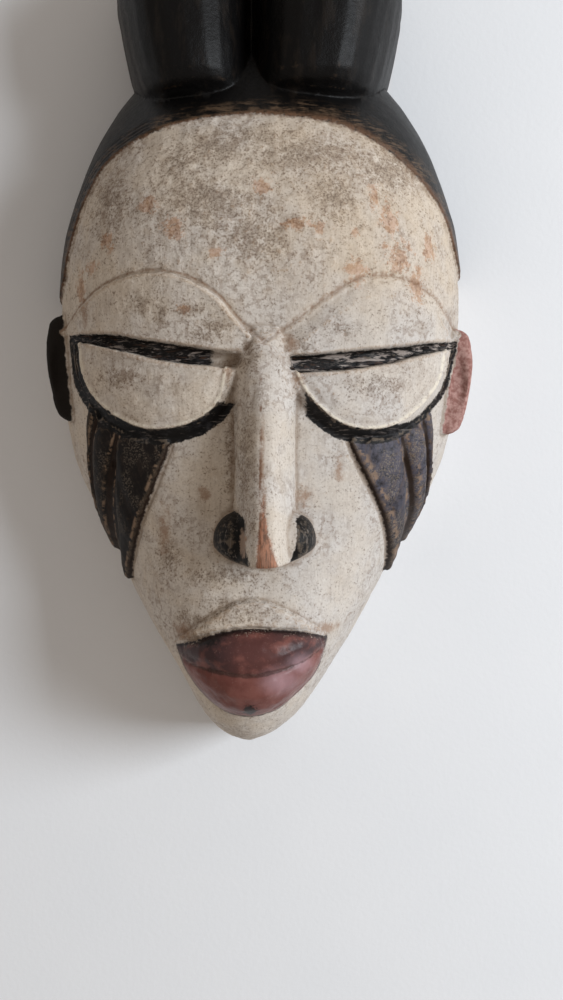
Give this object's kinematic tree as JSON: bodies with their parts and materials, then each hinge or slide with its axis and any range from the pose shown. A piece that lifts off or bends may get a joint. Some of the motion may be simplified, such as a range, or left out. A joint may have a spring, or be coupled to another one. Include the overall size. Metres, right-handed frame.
{
  "type": "carved wooden face mask",
  "caption": "Hollow carved wooden mask: pale oval face, half-closed eyes, long ridged nose, red lips, dark cheek tresses and a dark two-lobed coiffure.",
  "frame": {"origin": "below the middle of the mask, in the plane of the flat back that it lies on", "axes": "+X the viewer's right, +Y from the chin to the top of the coiffure, +Z out of the face"},
  "size_m": [0.1828, 0.35, 0.1128],
  "materials": {
    "painted_wood": "chalky white, black and dull red pigment, worn and mottled, over carved wood"
  },
  "bodies": {
    "root": {"mask": "painted_wood"}
  },
  "joints": []
}
